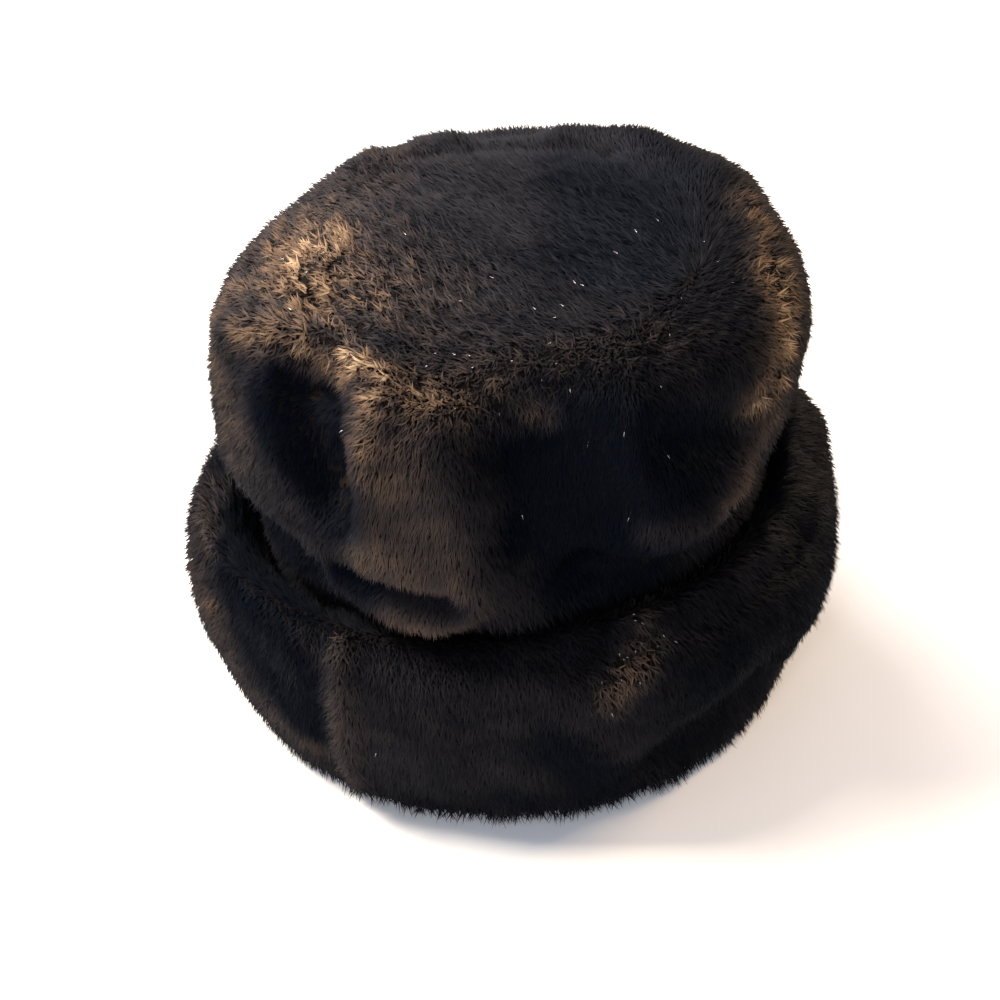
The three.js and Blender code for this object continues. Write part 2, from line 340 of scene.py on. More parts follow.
def newMaterial(name):
    material = bpy.data.materials.new(name)
    material.use_nodes = True
    material.node_tree.nodes.clear()
    return material, material.node_tree


# Dyed sheepskin plush, sheared: nearly black, soft and almost without gloss. Its brown and sandy areas are
# painted light where the lamps fall, its navy areas are painted shade, and a few silver-tipped hairs are
# painted glints. The map gives each hair its tone, and the way from its root to its tip.
furLook = {
    # Roots are darker than tips: partly the darker underfur, partly painted shade deep in the pile
    "roots": "#080707",
    # Tip colours by tone: the navy at 0 is painted cool shade, the near-black at 0.12 is the pile's own
    # colour, and the browns up to 0.96 are painted light, sandy where the light is strongest
    "tips": {  # tip colours by tone; the last one is for the silver-tipped hairs, which are dark below
        0: "#060a11",
        0.12: "#1c1b1e",
        0.3: "#37302d",
        0.6: "#6b5644",
        0.96: "#b39a7a",
        0.98: "#1c1b1e",
    },
    "rootShare": (0, 0.4),  # of a hair's length, over which it turns from root to tip colour
    "rootLight": 0.6,  # how much of the tip colour its root has
    # Silver ends on a few hairs: painted glints, for light caught on single hairs
    "silver": "#d8d4d0",
    "silverTone": 0.98,  # hairs over this tone have silver ends
    "silverShare": 0.72,  # of their length stays dark
    "roughness": 0.6,
    "ior": 1.5,
    "specular": 0.035,  # low, because the hairs shade each other
    # The bluish specular and sheen tints are a painted cool cast of shade in the pile's reflections
    "specularTint": "#8f9cb8",
    "sheen": 0.02,
    "sheenRoughness": 0.4,
    "sheenTint": "#8a8f9c",
}


def makeFurMaterial(look):
    material, tree = newMaterial("Sheared sheepskin plush, dyed brown")
    hair = addNode(tree, "ShaderNodeUVMap", uv_map="OFBake")
    tone, along, _ = addNode(tree, "ShaderNodeSeparateXYZ", [hair]).outputs
    tips = addNode(tree, "ShaderNodeValToRGB", [tone])
    stops = tips.color_ramp.elements
    for k, (place, hexColour) in enumerate(look["tips"].items()):
        stop = stops[k] if k < 2 else stops.new(place)  # a new ramp has two stops
        stop.position = place
        stop.color = linearColour(hexColour)
    low, high = look["rootShare"]
    grown = {"Value": along, "From Min": low, "From Max": high, "To Min": look["rootLight"]}
    grown = addNode(tree, "ShaderNodeMapRange", grown)
    # a Mix node takes its colours at 6 and 7, and gives the mixed one at 2
    colour = {"Factor": grown, 6: linearColour(look["roots"]), 7: tips.outputs["Color"]}
    colour = addNode(tree, "ShaderNodeMix", colour, data_type="RGBA").outputs[2]
    # Painted glints: hairs toned past silverTone get silver ends
    glint = addNode(tree, "ShaderNodeMath", [tone, look["silverTone"]], operation="GREATER_THAN")
    ended = addNode(tree, "ShaderNodeMath", [along, look["silverShare"]], operation="GREATER_THAN")
    paintedGlint = addNode(tree, "ShaderNodeMath", [glint, ended], operation="MULTIPLY")
    colour = {"Factor": paintedGlint, 6: colour, 7: linearColour(look["silver"])}
    colour = addNode(tree, "ShaderNodeMix", colour, data_type="RGBA").outputs[2]
    shader = addNode(
        tree,
        "ShaderNodeBsdfPrincipled",
        {
            "Base Color": colour,
            "Roughness": look["roughness"],
            "IOR": look["ior"],
            "Specular IOR Level": look["specular"],
            "Specular Tint": linearColour(look["specularTint"]),
            "Sheen Weight": look["sheen"],
            "Sheen Roughness": look["sheenRoughness"],
            "Sheen Tint": linearColour(look["sheenTint"]),
        },
    )
    addNode(tree, "ShaderNodeOutputMaterial", {"Surface": shader.outputs["BSDF"]})
    return material


# Suede side of the hide: matt brown with a fine nap, and the ground that shows between the hairs
hideLook = {
    "dark": "#0f0c0b",
    "light": "#2a1f18",
    "napSize": 1.2 * mm,  # drawn coarser than the real 0.1 mm, so that it shows
    "blotchSize": 25 * mm,
    "napDepth": 0.2 * mm,
    "roughness": 0.9,
    "specular": 0.05,
}


def makeHideMaterial(look):
    material, tree = newMaterial("Brown suede hide")
    place = addNode(tree, "ShaderNodeTexCoord").outputs["Object"]
    nap = addNode(tree, "ShaderNodeTexNoise", {"Vector": place, "Scale": 1 / look["napSize"], "Detail": 2})
    blotches = addNode(tree, "ShaderNodeTexNoise", {"Vector": place, "Scale": 1 / look["blotchSize"]})
    both = addNode(tree, "ShaderNodeMath", [nap, blotches], operation="MULTIPLY")
    colour = {"Factor": both, 6: linearColour(look["dark"]), 7: linearColour(look["light"])}
    colour = addNode(tree, "ShaderNodeMix", colour, data_type="RGBA").outputs[2]
    bump = addNode(tree, "ShaderNodeBump", {"Height": nap, "Distance": look["napDepth"]})
    shader = addNode(
        tree,
        "ShaderNodeBsdfPrincipled",
        {
            "Base Color": colour,
            "Roughness": look["roughness"],
            "Specular IOR Level": look["specular"],
            "Normal": bump.outputs["Normal"],
        },
    )
    addNode(tree, "ShaderNodeOutputMaterial", {"Surface": shader.outputs["BSDF"]})
    return material


furMaterial = makeFurMaterial(furLook)
hideMaterial = makeHideMaterial(hideLook)
print("materials made")


# Crown hide: the soft wall that the pile grows on. Down inside the cuff, where none grows, it takes up the
# pile's thickness too. Depths are below the outline, in millimetres.
crownHideSizes = {
    "sides": 120,
    "outerRings": 60,
    "innerRings": 34,
    "pileDepth": 5,  # of the hide under the pile
    "bandDepth": 0.3,
    "wall": 10,  # of the inner side
    "bandFade": (84, 110),  # heights over which the pile's depth comes in
}


def crownDepth(azimuth, up, sizes):
    height = crownAt(azimuth, up)[..., 2]
    furred = fade(height, *sizes["bandFade"])
    return sizes["bandDepth"] + (sizes["pileDepth"] - sizes["bandDepth"]) * furred


def makeCrownHide(sizes):
    sides = sizes["sides"]
    points = []
    for rings, inner in ((sizes["outerRings"], False), (sizes["innerRings"], True)):
        azimuth, up = gridOf(sides, np.arange(rings) / rings)
        depth = np.full(up.shape, float(sizes["wall"])) if inner else crownDepth(azimuth, up, sizes)
        points.append(crownSkin(azimuth, up, depth).reshape(-1, 3))
        top = crownSkin(np.zeros(1), np.ones(1), np.array([depth[-1, 0]]))
        points.append(top)
    outerTop = sides * sizes["outerRings"]
    innerStart = outerTop + 1
    innerTop = innerStart + sides * sizes["innerRings"]
    faces = []
    for ring in range(sizes["outerRings"] - 1):
        faces += ringFaces(sides, ring * sides, (ring + 1) * sides).tolist()
    for ring in range(sizes["innerRings"] - 1):
        inside = ringFaces(sides, innerStart + ring * sides, innerStart + (ring + 1) * sides)
        faces += inside[:, ::-1].tolist()
    faces += ringFaces(sides, innerStart, 0).tolist()
    for i in range(sides):
        j = (i + 1) % sides
        faces.append([outerTop - sides + i, outerTop - sides + j, outerTop])
        faces.append([innerTop - sides + j, innerTop - sides + i, innerTop])
    piece = meshObject("crown_hide", np.concatenate(points) * mm, faces)
    piece.data.materials.append(hideMaterial)
    piece.data.shade_smooth()
    return piece


crownHide = makeCrownHide(crownHideSizes)
print("crown hide:", len(crownHide.data.polygons), "faces")


# Cuff hide: the folded band that the pile grows on, flat where it rests, with a seat for the crown's band
cuffHideSizes = {
    "sides": 120,
    "rings": 56,
    "pileDepth": 5,
    "restDepth": 1.2,  # where it rests, and inside
    "restFade": (1, 14),  # heights over which the pile's depth comes in
    "innerFade": (20, 38),  # and distances from the head hollow's wall
    "seatHeight": 4,
    "seatOut": 10.3,
}


def cuffDepth(azimuth, up, sizes):
    base = cuffAt(azimuth, up)
    out = np.hypot(base[..., 0], base[..., 1]) - headHalfWidth
    furred = fade(base[..., 2], *sizes["restFade"]) * fade(out, *sizes["innerFade"])
    return sizes["restDepth"] + (sizes["pileDepth"] - sizes["restDepth"]) * furred


def makeCuffHide(sizes):
    sides = sizes["sides"]
    azimuth, up = gridOf(sides, np.arange(sizes["rings"] + 1) / sizes["rings"])
    rings = list(cuffSkin(azimuth, up, cuffDepth(azimuth, up, sizes)))
    for out in (sizes["seatOut"], cuffShape["rows"][0][0] + sizes["restDepth"]):
        x = (headHalfWidth + out) * np.cos(azimuth[0])
        y = (headHalfDepth + out) * np.sin(azimuth[0])
        rings.append(np.stack([x, y, np.full(sides, float(sizes["seatHeight"]))], 1))
    faces = []
    for ring in range(len(rings)):
        following = (ring + 1) % len(rings)
        faces += ringFaces(sides, ring * sides, following * sides).tolist()
    piece = meshObject("cuff_hide", np.concatenate(rings) * mm, faces)
    piece.data.materials.append(hideMaterial)
    piece.data.shade_smooth()
    return piece


cuffHide = makeCuffHide(cuffHideSizes)
print("cuff hide:", len(cuffHide.data.polygons), "faces")


# Where the pile looks different. Each patch is a line, as a fold is, and adds to the pile's own values:
# tone is how light or dark its hairs are coloured, which here is painted light and shade, raised where
# lamps light the pile and lowered in dents, hollows and under overhangs; crimp is how crinkled it is, lift
# how steep it stands, length its length as a share, and glints how many of its hairs in a thousand have
# silver tips, which are painted glints.
patchColumns = ("name", "start", "end", "spread", "firm", "tone", "crimp", "lift", "length", "glints")
crownPatches = [
    # Painted light: the crinkled left top, the crinkles round it and the left side are toned lighter where
    # the upper left lamp falls; their crimp is the pile's own
    ("crinkled left top", (-192, 0.67), (-150, 0.74), 27, 3, 0.15, 0.6, 0, -0.22, 0.5),
    ("golden crinkles", (-186, 0.75), (-168, 0.73), 16, 3, 0.12, 0.2, 0, -0.05, 0),
    ("crinkles round it", (-215, 0.73), (-138, 0.8), 42, 4, 0.05, 0.4, 0, -0.1, 0.5),
    ("left side", (-176, 0.58), (-153, 0.5), 17, 3, 0.14, 0.5, 0, -0.2, 0),
    # Painted highlight on the arch's ridge and on its way down
    ("arch", (-158, 0.62), (-145, 0.652), 6, 2, 0.22, 0.5, 0.1, -0.1, 0),
    ("arch, top", (-142, 0.668), (-134, 0.679), 6, 2, 0.26, 0.3, 0.1, -0.1, 0),
    ("arch, right", (-132, 0.679), (-120, 0.662), 6, 2, 0.24, 0.3, 0.1, -0.1, 0),
    ("arch, down", (-118, 0.64), (-115, 0.56), 5, 2, 0.12, 0.2, 0, 0, 0),
    # Painted shade above the arch
    ("above the arch", (-142, 0.735), (-124, 0.725), 7, 2, -0.12, 0, 0, 0, 0),
    # Painted highlight on the shoulder band, the hump and the tuft
    ("shoulder band", (-124, 0.665), (-100, 0.67), 10, 2, 0.14, 0.5, 0.1, -0.1, 0),
    ("lit hump", (-116, 0.635), (-104, 0.645), 9, 2, 0.2, 0.1, 0.1, -0.15, 0.5),
    ("lit tuft", (-89, 0.67), (-86, 0.67), 5, 2, 0.3, 0.3, 0.1, 0, 1),
    # Painted light on the front left bulge, the right rim and the right lower roll
    ("front left bulge", (-112, 0.54), (-106, 0.41), 26, 6, 0.22, -0.1, 0, 0, 0),
    ("right rim", (-19, 0.655), (-37, 0.545), 11, 2, 0.45, 0.9, 0.1, -0.2, 0),
    ("right rim, above", (10, 0.695), (-14, 0.675), 9, 2, 0.22, 0.6, 0.1, -0.1, 0),
    ("right lower roll", (-30, 0.49), (-47, 0.445), 7, 2, 0.16, 0.2, 0, 0, 0),
    ("right lower roll, front", (-47, 0.445), (-63, 0.445), 7, 2, 0.16, 0.2, 0, 0, 0),
    # Painted shade in the front hollows, in the left front dent, under the left edge, under the lip and on
    # the hanging lower edge
    ("front hollow", (-78, 0.58), (-62, 0.44), 36, 5, -0.12, -0.2, 0, 0, 0),
    ("right front hollow", (-60, 0.58), (-44, 0.52), 13, 3, -0.12, -0.1, 0, 0, 0),
    ("low in the hollow", (-84, 0.47), (-72, 0.38), 17, 3, -0.14, 0, 0, 0, 0),
    ("left front dent", (-137, 0.6), (-123, 0.52), 20, 6, -0.4, -0.5, -0.1, -0.1, 0),
    ("under the left edge", (-174, 0.33), (-138, 0.34), 16, 3, -0.2, 0, 0, 0, 0),
    ("under the lip", (-124, 0.375), (-100, 0.385), 7, 3, -0.25, 0, 0, 0, 0),
    ("hanging lower edge", (-80, 0.335), (30, 0.35), 11, 2, -0.1, 0, -0.1, 0.1, 0),
    # Painted light on the lip
    ("lip", (-112, 0.335), (-99, 0.34), 8, 2, 0.1, 0, 0, 0, 0),
    ("over the cuff, in front", (-112, 0.3), (-72, 0.27), 13, 4, 0, 0, 0.15, 0.6, 0),
    # Painted shade: the top and its right side are toned darker
    ("top", (-180, 0.9), (180, 0.9), 40, 4, -0.04, 0.05, -0.06, 0, 0),
    ("top right", (-20, 0.84), (40, 0.8), 36, 3, -0.08, 0, 0, 0, 0),
    ("rear edge", (160, 0.72), (20, 0.72), 18, 3, 0, -0.1, -0.14, -0.15, 0),
    # Painted light on the front shoulder, and painted glints there and on the top
    ("front shoulder", (-98, 0.72), (-56, 0.73), 13, 3, 0.05, 0.5, 0, -0.1, 2),
    ("glinting top", (-100, 0.76), (-40, 0.8), 36, 4, 0, 0.1, 0, 0, 4),
]
cuffPatches = [
    # Painted highlight on the glossy patch, with many painted glints
    ("glossy patch", (-74, 0.545), (-66, 0.61), 10, 3, 0.26, 0.6, 0.1, -0.3, 40),
    # Painted light on the crest's far left
    ("crest, far left", (-178, 0.7), (-156, 0.61), 8, 2, 0.14, 0.3, 0, -0.1, 0),
    # Painted shadow of the crown on the cuff's left
    ("under the crown, left", (-172, 0.78), (-128, 0.68), 9, 3, -0.14, 0, 0, 0, 0),
    # Painted light on the raised edge at the seam
    ("edge at the seam", (-121, 0.25), (-119.5, 0.62), 6, 2, 0.13, 0.4, 0.1, 0, 0),
    # Painted shade below the swell, left of the seam and beside it
    ("dark below the swell", (-84, 0.42), (-74, 0.26), 14, 3, -0.12, 0, 0, 0, 0),
    ("left of the seam", (-150, 0.64), (-128, 0.38), 15, 4, -0.22, 0, 0, 0, 0),
    ("beside the seam", (-136, 0.61), (-129, 0.5), 10, 3, -0.16, 0, 0, 0, 0),
    # Painted light on the left edge and the lower left edge
    ("left edge", (-180, 0.5), (-156, 0.5), 11, 2, 0.08, 0.3, 0, 0, 0),
    ("lower left edge", (-157, 0.48), (-130, 0.27), 9, 2, 0.1, 0.3, 0, 0, 0),
    # Painted shade on the crest all round
    ("crest", (-180, 0.72), (180, 0.72), 12, 2, -0.1, 0, 0, 0.1, 0),
    # Painted light up to the crown in front, where the gap lies in shade
    ("up to the crown, in front", (-122, 0.77), (-64, 0.77), 12, 4, 0.08, 0, 0.3, 0.5, 0),
    # Painted shade on the right side and low in front
    ("right side", (-54, 0.45), (10, 0.5), 34, 3, -0.1, 0, 0, 0, 0),
    ("below, in front", (-110, 0.22), (-40, 0.24), 16, 2, -0.06, 0, 0, 0, 0),
    ("fringe", (-180, 0.16), (180, 0.16), 9, 2, 0.02, 0, 0.1, 0.15, 0),
    ("fringe, front", (-122, 0.17), (-60, 0.17), 8, 3, 0, 0.2, 0.1, 0.35, 0),
]

# Pile of both pieces
pile = {
    "length": 6.3 * mm,
    "rootRadius": 0.38 * mm,  # drawn much thicker than a real hair, so that the pile is closed
    "lift": 0.37,
    "tone": 0.12,
    "crimp": 0.25,
    # silver-tipped hairs in a thousand everywhere: painted glints
    "glints": 0.12,
    "lockSize": 7 * mm,
    "crimpSize": (11 * mm, 5 * mm),  # of one crinkle, around and down
}


def patchSum(fur, points, column, start):
    total = np.full(points.shape[:-1], float(start))
    k = patchColumns.index(column)
    for patch in fur["patches"]:
        if patch[k]:
            total += patch[k] * nearness(fur["surface"], points, *patch[1:5])
    return total


# The crown's top is combed to the left and a little back, and its sides down
crownCombing = {"topStarts": 0.62, "topFull": 0.9, "topWay": (-1, 0.4, 0)}


def crownComb(up, away, rise):
    onTop = fade(up, crownCombing["topStarts"], crownCombing["topFull"])[..., None]
    level = unit(np.array(crownCombing["topWay"], float))
    along = unit(level - away * (away @ level)[..., None])
    return unit(along * onTop - rise * (1 - onTop))


# The cuff is combed from the gap round the crown outwards over its crest, and down
def cuffComb(up, away, rise):
    return -rise


# A surface for the pile to grow on, which carries the pile's values. It is only used to place the hairs.
groundNumbers = ("around", "drop", "tone", "crimp", "lift", "length", "glints")
groundArrows = ("away", "comb")
furOverHead = 1.25  # the fur's width over the head's, roughly, to measure the way around


def makeGround(name, fur, start, end):
    shares = np.linspace(fur["from"], fur["to"], fur["rings"])
    sides = fur["sides"]
    azimuths = np.radians(np.linspace(start, end, sides + 1))
    azimuth, up = np.meshgrid(azimuths, shares)
    sunk = fur["depth"](azimuth, up, fur["hideSizes"])
    points = fur["skin"](azimuth, up, sunk)
    base = fur["surface"](azimuth, up)
    away, rise = facing(lambda turn, along: fur["skin"](turn, along, sunk), azimuth, up)
    i = np.arange(sides)
    faces = []
    for ring in range(len(shares) - 1):
        low = ring * (sides + 1) + i
        high = low + sides + 1
        faces += np.stack([low, low + 1, high + 1, high], 1).tolist()
    ground = meshObject(name, points.reshape(-1, 3) * mm, faces)
    values = {
        "away": away,
        "around": azimuth * headHalfWidth * furOverHead * mm,
        "comb": fur["combing"](up, away, rise),
        "drop": up * fur["sectionLength"] * mm,
        "length": patchSum(fur, base, "length", 1),
    }
    for key in ("tone", "crimp", "lift", "glints"):
        values[key] = patchSum(fur, base, key, pile[key])
    for key, value in values.items():
        kind, field = ("FLOAT_VECTOR", "vector") if value.ndim == 3 else ("FLOAT", "value")
        attribute = ground.data.attributes.new(key, kind, "POINT")
        attribute.data.foreach_set(field, value.astype(np.float32).ravel())
    return ground


# Fur: closed three-sided spikes, each leaning along the comb and towards the middle of its lock
furInputs = [
    ("Geometry", "NodeSocketGeometry", None),
    ("Density", "NodeSocketFloat", 1e6),
    ("Hair Length", "NodeSocketFloat", pile["length"]),
    ("Root Radius", "NodeSocketFloat", pile["rootRadius"]),
    ("Lean", "NodeSocketFloat", 0.8),
    ("Lock Size", "NodeSocketFloat", pile["lockSize"]),
    ("Gather", "NodeSocketFloat", 0.12),
    ("Drift", "NodeSocketFloat", 0.9),
    ("Mess", "NodeSocketFloat", 0.18),
    ("Crimp Around", "NodeSocketFloat", pile["crimpSize"][0]),
    ("Crimp Down", "NodeSocketFloat", pile["crimpSize"][1]),
    ("Crimp Step", "NodeSocketFloat", 1 * mm),
    ("Velvet", "NodeSocketFloat", 3),
    ("Ripple", "NodeSocketFloat", 2.6),
    ("Relief", "NodeSocketFloat", 1 * mm),
    ("Crimped Width", "NodeSocketFloat", 0.45),
    ("Crimped Mess", "NodeSocketFloat", 0.6),
    ("Floor Gap", "NodeSocketFloat", 0.3 * mm),
    ("Seed", "NodeSocketInt", 1),
    ("Hair Material", "NodeSocketMaterial", None),
]

# How one hair differs from the next
hairVariety = {
    "seeds": {"stray": 0, "spin": 1, "glint": 2, "length": 3, "tone": 4},
    "lockSquash": (1, 1, 0.6),  # locks are longer than wide on the sides
    "ridges": {"Scale": 1, "Detail": 1.5, "Distortion": 1},
    "waveHeight": 5,  # makes heights of about -1 to 1 from the noise
    "waveSlope": 9,
    "waveLift": 0.4,  # how much steeper hairs stand on a ridge
    "drift": {"Scale": 36, "Detail": 3, "Roughness": 0.6},  # 36 blotches to the metre, 28 mm each
    "shortest": 0.78,
    "lengthShares": {"lock": 0.1, "wave": 0.24, "glint": 0.12},
    "blotches": {"Scale": 45, "Detail": 2},  # 22 mm each
    # The wave's share of tone paints the crinkles' ridges lighter and their hollows darker: painted light
    # and shade
    "toneShares": {"blotch": 0.22, "lock": 0.04, "hair": 0.06, "wave": 0.2},
    # The pile's tone, which toneLife follows, is mostly painted light, so lit areas vary more
    "toneLife": (2.4, 0.4),  # how much tones vary: with the pile's own tone, and always
    "leastLife": 0.15,
    "glintTone": 2,  # puts a silver-tipped hair at the end of the range
    "toneRange": (0.01, 0.99),
}
seeds = hairVariety["seeds"]
noiseMiddle = 0.5
thousand = 1000

# What a hair carries besides the ground's values
hairNumbers = ("hairTone",)
hairArrows = ("onHair", "tilt")

# Kinds of node that are used often
number = "ShaderNodeMath"
arrow = "ShaderNodeVectorMath"
split = "ShaderNodeSeparateXYZ"
joined = "ShaderNodeCombineXYZ"
noise = "ShaderNodeTexNoise"
randomValue = "FunctionNodeRandomValue"
carriedValue = "GeometryNodeInputNamedAttribute"
storedValue = "GeometryNodeStoreNamedAttribute"


# The way from each hair to the middle of its lock, along the surface
def addLocks(tree, given, place, away):
    squeezed = addNode(tree, arrow, [place, hairVariety["lockSquash"]], operation="MULTIPLY")
    perLock = addNode(tree, number, [1, given["Lock Size"]], operation="DIVIDE")
    cells = addNode(tree, arrow, {0: squeezed, "Scale": perLock}, operation="SCALE")
    lock = addNode(tree, "ShaderNodeTexVoronoi", {"Vector": cells, "Scale": 1}, feature="F1")
    toMiddle = addNode(tree, arrow, [lock.outputs["Position"], cells], operation="SUBTRACT")
    outPart = addNode(tree, arrow, [toMiddle, away], operation="DOT_PRODUCT")
    outPart = addNode(tree, arrow, {0: away, "Scale": outPart}, operation="SCALE")
    toMiddle = addNode(tree, arrow, [toMiddle, outPart], operation="SUBTRACT")
    lockLength, lockTone, _ = addNode(tree, split, [lock.outputs["Color"]]).outputs
    return toMiddle, lockLength, lockTone


# Crinkles: short ridges that lie across the comb, and how they slope along it
def addCrinkles(tree, given, ground):
    heights = []
    for ahead in (0, given["Crimp Step"]):
        down = addNode(tree, number, [ground["drop"], ahead], operation="SUBTRACT")
        down = addNode(tree, number, [down, given["Crimp Down"]], operation="DIVIDE")
        across = addNode(tree, number, [ground["around"], given["Crimp Around"]], operation="DIVIDE")
        spot = addNode(tree, joined, [across, down, 0])
        ridges = addNode(tree, noise, {"Vector": spot, **hairVariety["ridges"]})
        heights.append(addNode(tree, number, [ridges, noiseMiddle], operation="SUBTRACT"))
    wave = addNode(tree, number, [heights[0], hairVariety["waveHeight"]], operation="MULTIPLY")
    wave = addNode(tree, number, [wave, ground["crimp"]], operation="MULTIPLY")
    slope = addNode(tree, number, [heights[0], heights[1]], operation="SUBTRACT")
    slope = addNode(tree, number, [slope, hairVariety["waveSlope"]], operation="MULTIPLY")
    slope = addNode(tree, number, [slope, ground["crimp"]], operation="MULTIPLY")
    return wave, slope


# The way a hair points: out, along the comb, towards its lock's middle, and a little astray
def addTurn(tree, given, ground, toMiddle, drift, wave):
    steep = addNode(tree, number, [wave, hairVariety["waveLift"], ground["lift"]], operation="MULTIPLY_ADD")
    stray = {0: (-1, -1, -1), 1: (1, 1, 1), "Seed": seeds["stray"]}
    stray = addNode(tree, randomValue, stray, data_type="FLOAT_VECTOR")
    astray = [ground["crimp"], given["Crimped Mess"], given["Mess"]]
    astray = addNode(tree, number, astray, operation="MULTIPLY_ADD")
    way = addNode(tree, arrow, {0: ground["away"], "Scale": steep}, operation="SCALE")
    for part, share in (
        (ground["comb"], given["Lean"]),
        (toMiddle, given["Gather"]),
        (drift, given["Drift"]),
        (stray, astray),
    ):
        part = addNode(tree, arrow, {0: part, "Scale": share}, operation="SCALE")
        way = addNode(tree, arrow, [way, part], operation="ADD")
    spin = {0: (0, 0, 0), 1: (0, 0, 2 * math.pi), "Seed": seeds["spin"]}
    spin = addNode(tree, randomValue, spin, data_type="FLOAT_VECTOR")
    return addNode(tree, "FunctionNodeAlignRotationToVector", {"Rotation": spin, "Vector": way}, axis="Z")


# Size: locks and single hairs differ in length, and the few silvery ones stand past the rest
def addSize(tree, given, ground, lockLength, wave, glint):
    shares = hairVariety["lengthShares"]
    long = {2: hairVariety["shortest"], 3: 1, "Seed": seeds["length"]}
    long = addNode(tree, randomValue, long, data_type="FLOAT")
    for part, share in ((lockLength, shares["lock"]), (wave, shares["wave"]), (glint, shares["glint"])):
        long = addNode(tree, number, [part, share, long], operation="MULTIPLY_ADD")
    for part in (given["Hair Length"], ground["length"]):
        long = addNode(tree, number, [long, part], operation="MULTIPLY")
    wide = addNode(tree, number, [ground["crimp"], given["Crimped Width"], 1], operation="MULTIPLY_ADD")
    wide = addNode(tree, number, [wide, given["Root Radius"]], operation="MULTIPLY")
    return addNode(tree, joined, [wide, wide, long])


# Tone: blotches, locks and single hairs differ, more so where the pile's tone is high, which is mostly
# painted light. The crinkles add painted light on their ridges and painted shade in their hollows.
def addTone(tree, ground, place, lockTone, wave, glint):
    shares = hairVariety["toneShares"]
    blotch = addNode(tree, noise, {"Vector": place, **hairVariety["blotches"]})
    single = addNode(tree, randomValue, {2: 0, 3: 1, "Seed": seeds["tone"]}, data_type="FLOAT")
    varied = 0
    for part, middle, share in (
        (blotch, noiseMiddle, shares["blotch"]),
        (lockTone, noiseMiddle, shares["lock"]),
        (single, noiseMiddle, shares["hair"]),
        # painted light on the crinkles' ridges, painted shade in their hollows
        (wave, 0, shares["wave"]),
    ):
        part = addNode(tree, number, [part, middle], operation="SUBTRACT")
        varied = addNode(tree, number, [part, share, varied], operation="MULTIPLY_ADD")
    life = addNode(tree, number, [ground["tone"], *hairVariety["toneLife"]], operation="MULTIPLY_ADD")
    life = addNode(tree, number, [life, hairVariety["leastLife"]], operation="MAXIMUM")
    shade = addNode(tree, number, [varied, life, ground["tone"]], operation="MULTIPLY_ADD")
    shade = addNode(tree, number, [glint, hairVariety["glintTone"], shade], operation="MULTIPLY_ADD")
    low, high = hairVariety["toneRange"]
    return addNode(tree, "ShaderNodeClamp", {"Value": shade, "Min": low, "Max": high})


# Roots on the ground, each with its tone and tilt, raised on the crinkles' ridges
def addRoots(tree, given, ground, shade, slope, drift, wave):
    roots = addNode(
        tree,
        "GeometryNodeDistributePointsOnFaces",
        {"Mesh": given["Geometry"], "Density": given["Density"], "Seed": given["Seed"]},
        distribute_method="RANDOM",
    )
    toned = {"Geometry": roots, "Name": "hairTone", "Value": shade}
    toned = addNode(tree, storedValue, toned, data_type="FLOAT", domain="POINT")
    tilt = addNode(tree, arrow, {0: ground["comb"], "Scale": slope}, operation="SCALE")
    tilt = addNode(tree, arrow, [tilt, drift], operation="ADD")
    tilted = {"Geometry": toned, "Name": "tilt", "Value": tilt}
    tilted = addNode(tree, storedValue, tilted, data_type="FLOAT_VECTOR", domain="POINT")
    raised = addNode(tree, number, [wave, given["Relief"]], operation="MULTIPLY")
    raised = addNode(tree, arrow, {0: ground["away"], "Scale": raised}, operation="SCALE")
    return addNode(tree, "GeometryNodeSetPosition", {"Geometry": tilted, "Offset": raised})


# One hair, a closed spike of unit size that keeps its own coordinates
hairSides = 3


def addSpike(tree, place):
    spike = addNode(
        tree,
        "GeometryNodeMeshCone",
        {"Vertices": hairSides, "Side Segments": 1, "Radius Top": 0, "Radius Bottom": 1, "Depth": 1},
        fill_type="NGON",
    )
    smooth = addNode(tree, "GeometryNodeSetShadeSmooth", [spike])
    shaped = {"Geometry": smooth, "Name": "onHair", "Value": place}
    return addNode(tree, storedValue, shaped, data_type="FLOAT_VECTOR", domain="POINT")


# Nothing goes below the surface that the hat rests on
def addFloorStop(tree, given, place, hairs):
    x, y, z = addNode(tree, split, [place]).outputs
    kept = addNode(tree, number, [z, given["Floor Gap"]], operation="MAXIMUM")
    above = addNode(tree, joined, [x, y, kept])
    return addNode(tree, "GeometryNodeSetPosition", {"Geometry": hairs, "Position": above})


# The map: across is the hair's tone, up is the way from its root to its tip. Each hair takes up a small
# area of it, not a mere line.
hairMap = {"width": 0.004, "rootAt": 0.03, "length": 0.94, "skew": 0.02}


def addMap(tree, carried, hairs):
    x, y, z = addNode(tree, split, [carried["onHair"]]).outputs
    across = addNode(tree, number, [x, hairMap["width"], carried["hairTone"]], operation="MULTIPLY_ADD")
    along = addNode(tree, number, [z, hairMap["length"], hairMap["rootAt"]], operation="MULTIPLY_ADD")
    along = addNode(tree, number, [y, hairMap["skew"], along], operation="MULTIPLY_ADD")
    mapped = {"Geometry": hairs, "Name": "OFBake", "Value": addNode(tree, joined, [across, along])}
    return addNode(tree, storedValue, mapped, data_type="FLOAT2", domain="CORNER")


# Velvet: each hair takes light partly as the pile's whole surface does
def addVelvet(tree, given, carried, hairs):
    own = addNode(tree, "GeometryNodeInputNormal").outputs["Normal"]
    soft = addNode(tree, arrow, {0: carried["away"], "Scale": given["Velvet"]}, operation="SCALE")
    soft = addNode(tree, arrow, [soft, own], operation="ADD")
    ripple = addNode(tree, arrow, {0: carried["tilt"], "Scale": given["Ripple"]}, operation="SCALE")
    soft = addNode(tree, arrow, [soft, ripple], operation="ADD")
    soft = addNode(tree, arrow, [soft], operation="NORMALIZE")
    return addNode(tree, "GeometryNodeSetMeshNormal", [hairs, soft], mode="FREE")


